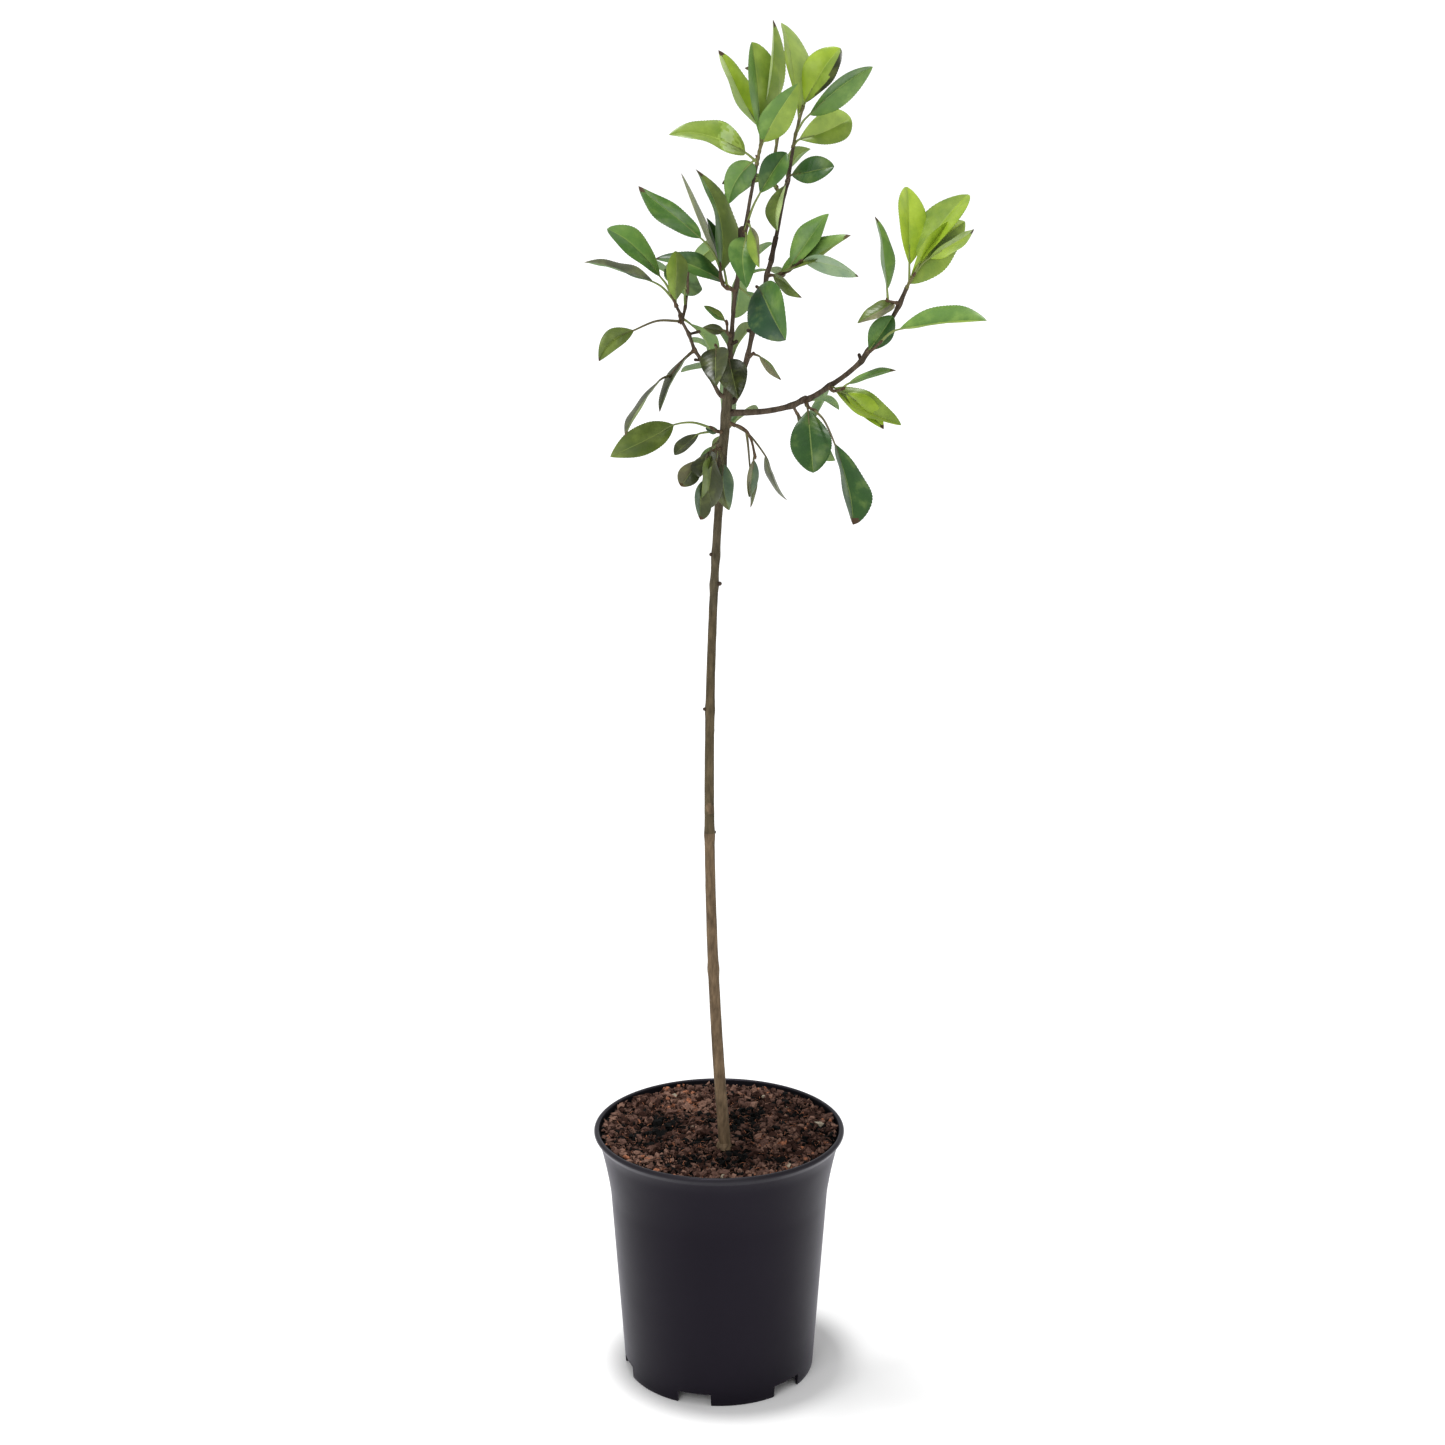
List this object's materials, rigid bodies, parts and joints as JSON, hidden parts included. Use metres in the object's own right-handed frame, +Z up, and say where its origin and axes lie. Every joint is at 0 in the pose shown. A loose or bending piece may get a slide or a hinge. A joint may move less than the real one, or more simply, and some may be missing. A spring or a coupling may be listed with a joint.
{
  "type": "potted pear tree",
  "caption": "Young pear tree with a slim bowed stem and a loose leafy crown, in a round black nursery pot with a flared rim.",
  "frame": {"origin": "centre of the pot's flat underside", "axes": "+Z up along the pot's axis; the front is -Y, with +X to its right, where the long bough reaches"},
  "size_m": [0.3143, 0.2481, 1.1626],
  "materials": {
    "black_plastic": "satin black",
    "compost": "moist, crumbly",
    "bark": "smooth young bark",
    "young_leaves": "soft sheen",
    "leaves": "soft sheen",
    "old_leaves": "satin"
  },
  "bodies": {
    "root": {"pot": "black_plastic", "compost": "compost", "trunk": "bark", "leader_left": "bark", "leader_right": "bark", "bough_right": "bark", "bough_left": "bark", "bough_back": "bark", "leaves_top_left": "young_leaves", "leaves_top_right": "young_leaves", "leaves_right_mid": "old_leaves", "leaves_centre": "leaves", "leaves_right_shoot": "leaves", "leaves_centre_right": "old_leaves", "leaves_left_upper": "leaves", "leaves_left_mid": "leaves", "leaves_left_small": "old_leaves", "leaves_left_spur": "old_leaves", "leaves_left_drooping": "old_leaves", "leaves_fork_front": "old_leaves", "leaves_fork_right": "old_leaves", "leaves_trunk_left": "leaves", "leaves_trunk_low": "old_leaves", "leaves_trunk_right": "old_leaves", "leaves_bough_under": "old_leaves", "leaves_bough_mid": "leaves", "leaves_bough_fork": "leaves", "leaves_bough_side": "leaves", "leaves_bough_tip": "young_leaves", "leaves_back_top": "young_leaves", "leaves_back_centre": "leaves", "leaves_back_low": "old_leaves", "leaves_trunk_back": "old_leaves", "leaves_bough_rear": "old_leaves", "leaves_left_rear": "leaves"}
  },
  "joints": []
}
